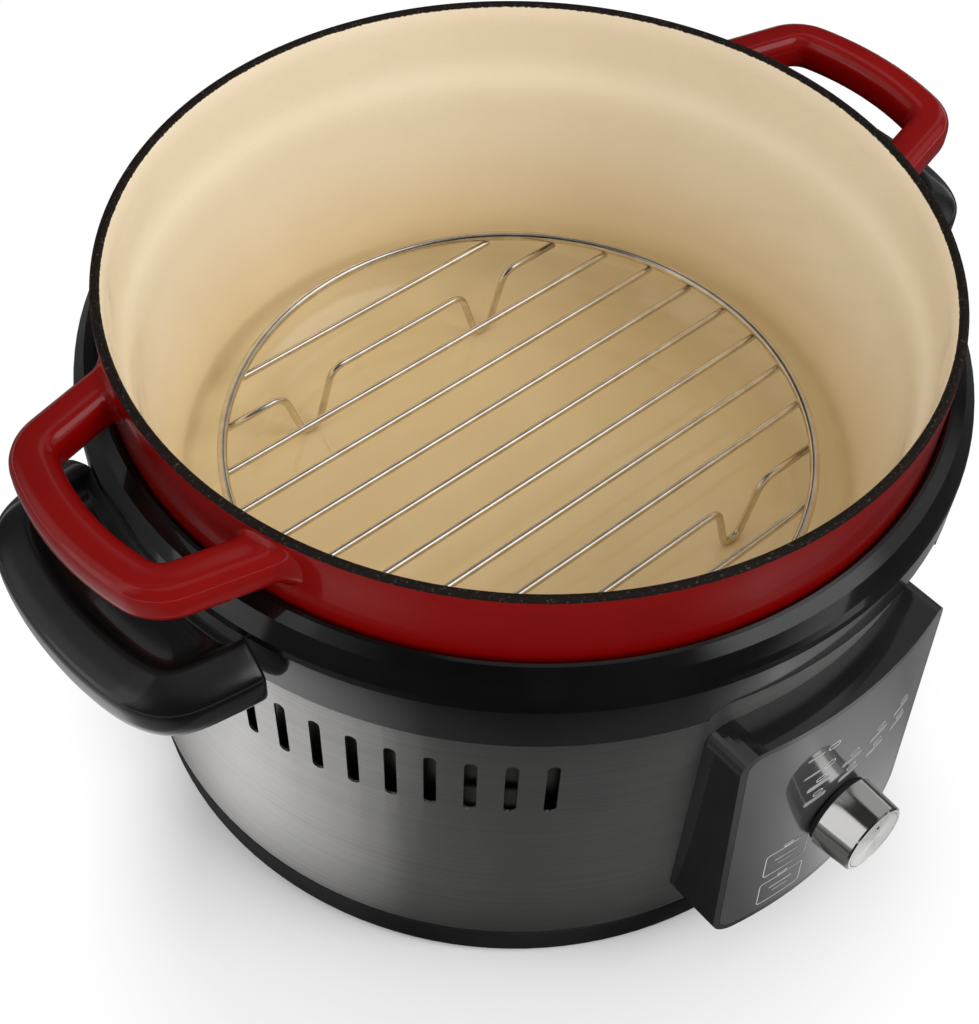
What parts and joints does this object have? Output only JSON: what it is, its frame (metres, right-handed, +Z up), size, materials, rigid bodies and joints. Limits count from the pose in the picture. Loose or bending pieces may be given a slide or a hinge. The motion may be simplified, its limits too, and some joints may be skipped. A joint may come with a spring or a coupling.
{
  "type": "electric dutch oven",
  "caption": "Enamelled cast iron pot with loop handles and a wire rack, standing in a round electric heating base with side handles and a knob panel.",
  "frame": {"origin": "centre of the bounding box in plan, at the height of the table the feet stand on", "axes": "+X towards the right handle, +Z up, the control panel faces -Y"},
  "size_m": [0.3566, 0.3147, 0.1962],
  "materials": {
    "foot_rubber": "matt rubber",
    "zinc_steel": "zinc plated steel",
    "galvanised": "dull plated sheet",
    "grey_plastic": "satin moulded plastic",
    "brushed_steel": "fine horizontal brushing",
    "black_gloss": "glossy moulded plastic",
    "handle_black": "glossy moulded plastic",
    "cast_aluminium": "as cast",
    "element_sheath": "heat darkened steel",
    "spring_steel": "bright drawn wire",
    "board_green": "solder mask",
    "transformer_core": "varnished laminations",
    "relay_case": "moulded case",
    "terminal_ivory": "unglazed",
    "lead_sleeve": "silicone sleeve",
    "gland_black": "satin moulded plastic",
    "panel_gloss": "high gloss",
    "lens_smoke": "smoked lens with pale printing",
    "display_case": "dark filter",
    "knob_chrome": "bright plated",
    "knob_face": "spun face",
    "pot_enamel": "red enamel outside, cream enamel inside, bare dark rim",
    "rack_wire": "bright drawn wire"
  },
  "bodies": {
    "base": {"feet": "foot_rubber", "base_screws": "zinc_steel", "base_pan": "galvanised", "base_ring": "grey_plastic", "steel_shell": "brushed_steel", "collar": "black_gloss", "handle_left": "handle_black", "handle_right": "handle_black", "handle_screws": "zinc_steel", "liner": "galvanised", "liner_screws": "zinc_steel", "heat_shield": "galvanised", "tie_rods": "zinc_steel", "rod_nuts": "zinc_steel", "shield_bracket": "galvanised", "hot_plate": "cast_aluminium", "plate_studs": "zinc_steel", "heating_element": "element_sheath", "sensor_holder": "zinc_steel", "sensor_spring": "spring_steel", "power_board": "board_green", "transformer": "transformer_core", "relay": "relay_case", "terminal_block": "terminal_ivory", "thermal_fuse": "galvanised", "heater_leads": "lead_sleeve", "cord_gland": "gland_black", "panel_housing": "panel_gloss", "panel_lens": "lens_smoke", "panel_screws": "zinc_steel", "control_board": "board_green", "board_posts": "gland_black", "display_module": "display_case", "touch_springs": "spring_steel", "encoder": "zinc_steel"},
    "sensor": {"sensor_cap": "cast_aluminium"},
    "knob": {"knob_shaft": "zinc_steel", "knob_base": "gland_black", "knob_cap": "knob_chrome", "knob_disc": "knob_face"},
    "pot": {"pot": "pot_enamel"},
    "rack": {"rack_ring": "rack_wire", "rack_bars": "rack_wire", "rack_legs": "rack_wire"}
  },
  "joints": [
    {"name": "pot_lift", "type": "slide", "parent": "base", "child": "pot", "axis": [0, 0, 1], "range_m": [0, 0.12]},
    {"name": "rack_lift", "type": "slide", "parent": "pot", "child": "rack", "axis": [0, 0, 1], "range_m": [0, 0.13]},
    {"name": "knob_turn", "type": "hinge", "parent": "base", "child": "knob", "pos_m": [0, -0.14061, 0.07], "axis": [0, -0.998, 0.0633], "continuous": true},
    {"name": "sensor_press", "type": "slide", "parent": "base", "child": "sensor", "axis": [0, 0, 1], "range_m": [-0.002, 0], "stiffness_N_per_m": 900, "springref_m": 0.003, "deforming": ["sensor_spring"]}
  ]
}
